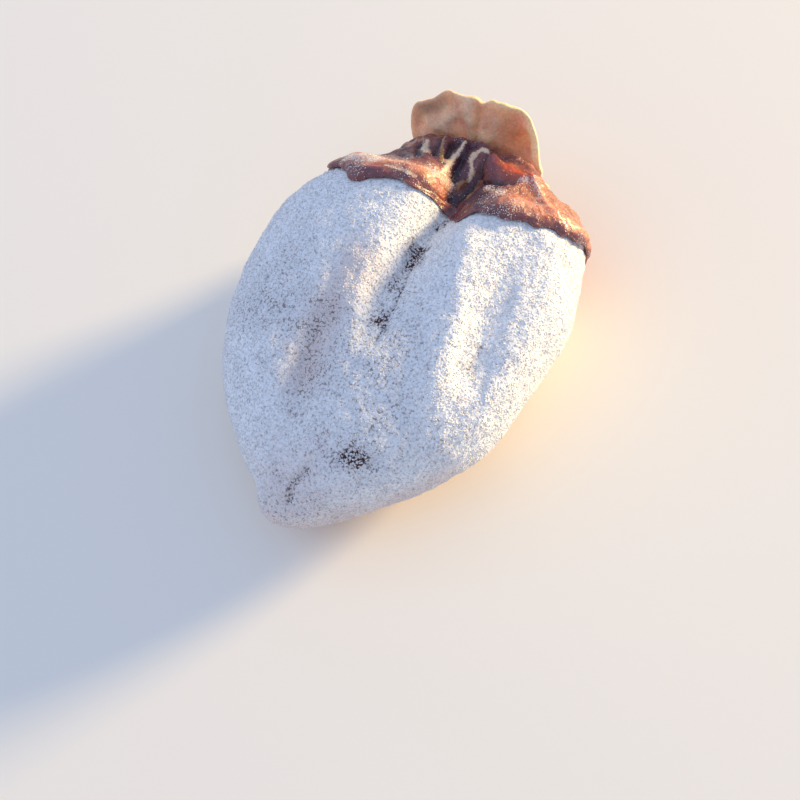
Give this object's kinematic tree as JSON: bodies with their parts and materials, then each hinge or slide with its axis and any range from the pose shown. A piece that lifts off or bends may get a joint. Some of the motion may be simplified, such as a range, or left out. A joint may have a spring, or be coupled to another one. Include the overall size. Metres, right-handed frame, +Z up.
{
  "type": "dried persimmon",
  "caption": "Flattened heart-shaped dried fruit with white sugar bloom, a ring of amber peel left at its shoulder, a waved dry calyx and a short stem stub.",
  "frame": {"origin": "on the small flat spot that the fruit rests on, under the middle of the body", "axes": "+Y along the fruit from the blossom tip to the calyx, +X to the fruit's right seen from above with the calyx ahead, +Z up through its thickness"},
  "size_m": [0.0509, 0.0737, 0.0246],
  "materials": {
    "bloomed_flesh": "matt, granular white sugar bloom over brown flesh",
    "dried_peel": "glossy, amber, half translucent",
    "dry_calyx": "matt, leathery, veined",
    "dry_stem": "matt, fibrous"
  },
  "bodies": {
    "root": {"fruit": "bloomed_flesh", "peel_collar": "dried_peel", "calyx": "dry_calyx", "stem": "dry_stem"}
  },
  "joints": []
}
